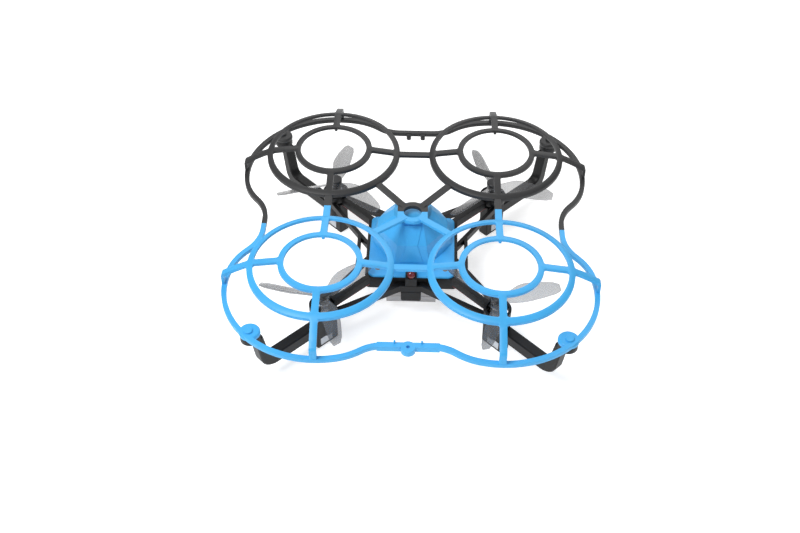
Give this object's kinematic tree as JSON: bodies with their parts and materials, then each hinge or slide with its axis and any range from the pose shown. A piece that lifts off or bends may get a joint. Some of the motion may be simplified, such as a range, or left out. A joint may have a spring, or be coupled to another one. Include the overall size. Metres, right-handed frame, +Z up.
{
  "type": "mini quadcopter drone",
  "caption": "Palm-sized quadcopter with a two-part propeller cage of linked rings, a faceted canopy and slide-in battery.",
  "frame": {"origin": "middle of the overall footprint, on the ground the four leg pods stand on", "axes": "+X to the drone's right seen from behind its sensor side, +Y towards its rear, +Z up; the sensor faces -Y"},
  "size_m": [0.182, 0.182, 0.0553],
  "materials": {
    "sky_blue_plastic": "satin",
    "dark_grey_plastic": "satin",
    "black_plastic": "satin",
    "clear_grey_plastic": "gloss",
    "frosted_lens": "frosted",
    "motor_steel": "brushed",
    "copper_winding": "lacquered",
    "screw_steel": "blackened",
    "hub_plastic": "satin",
    "battery_plastic": "satin",
    "circuit_board": "solder mask",
    "chip_black": "matte",
    "white_plastic": "satin",
    "port_steel": "plated",
    "red_lens": "gloss",
    "wire_sleeve": "smooth"
  },
  "bodies": {
    "frame": {"arm_front_left": "black_plastic", "arm_front_right": "black_plastic", "arm_rear_left": "black_plastic", "arm_rear_right": "black_plastic", "battery_socket": "black_plastic", "board_chips": "chip_black", "board_screws": "screw_steel", "body_screws": "screw_steel", "body_tray": "black_plastic", "brace_front": "black_plastic", "brace_rear": "black_plastic", "button_switch": "chip_black", "cage_front": "sky_blue_plastic", "cage_rear": "dark_grey_plastic", "canopy": "sky_blue_plastic", "control_board": "circuit_board", "led_boards": "circuit_board", "led_lenses": "frosted_lens", "motor_can_front_left": "motor_steel", "motor_can_front_right": "motor_steel", "motor_can_rear_left": "motor_steel", "motor_can_rear_right": "motor_steel", "motor_end_caps": "black_plastic", "motor_leads": "wire_sleeve", "motor_magnets": "motor_steel", "motor_plugs": "white_plastic", "sensor_board": "circuit_board", "sensor_housing": "black_plastic", "sensor_lens": "red_lens", "side_frame_left": "black_plastic", "side_frame_right": "black_plastic"},
    "rotor_front_left": {"motor_coil_front_left": "copper_winding", "motor_shaft_front_left": "screw_steel", "hub_base_front_left": "hub_plastic", "hub_cap_front_left": "hub_plastic", "propeller_front_left": "clear_grey_plastic"},
    "rotor_front_right": {"motor_coil_front_right": "copper_winding", "motor_shaft_front_right": "screw_steel", "hub_base_front_right": "hub_plastic", "hub_cap_front_right": "hub_plastic", "propeller_front_right": "clear_grey_plastic"},
    "rotor_rear_left": {"motor_coil_rear_left": "copper_winding", "motor_shaft_rear_left": "screw_steel", "hub_base_rear_left": "hub_plastic", "hub_cap_rear_left": "hub_plastic", "propeller_rear_left": "clear_grey_plastic"},
    "rotor_rear_right": {"motor_coil_rear_right": "copper_winding", "motor_shaft_rear_right": "screw_steel", "hub_base_rear_right": "hub_plastic", "hub_cap_rear_right": "hub_plastic", "propeller_rear_right": "clear_grey_plastic"},
    "battery": {"battery_pack": "battery_plastic", "battery_grip": "black_plastic", "usb_port": "port_steel"},
    "power_button": {"power_button": "black_plastic"}
  },
  "joints": [
    {"name": "rotor_front_left_spin", "type": "hinge", "parent": "frame", "child": "rotor_front_left", "pos_m": [-0.0428, -0.0428, 0.0308], "axis": [0, 0, 1], "continuous": true},
    {"name": "rotor_front_right_spin", "type": "hinge", "parent": "frame", "child": "rotor_front_right", "pos_m": [0.0428, -0.0428, 0.0308], "axis": [0, 0, 1], "continuous": true},
    {"name": "rotor_rear_left_spin", "type": "hinge", "parent": "frame", "child": "rotor_rear_left", "pos_m": [-0.0428, 0.0428, 0.0308], "axis": [0, 0, 1], "continuous": true},
    {"name": "rotor_rear_right_spin", "type": "hinge", "parent": "frame", "child": "rotor_rear_right", "pos_m": [0.0428, 0.0428, 0.0308], "axis": [0, 0, 1], "continuous": true},
    {"name": "battery_slide", "type": "slide", "parent": "frame", "child": "battery", "axis": [0, 1, 0], "range_m": [0, 0.045]},
    {"name": "power_button_press", "type": "slide", "parent": "frame", "child": "power_button", "axis": [0, -1, 0], "range_m": [0, 0.0006], "stiffness_N_per_m": 400}
  ]
}
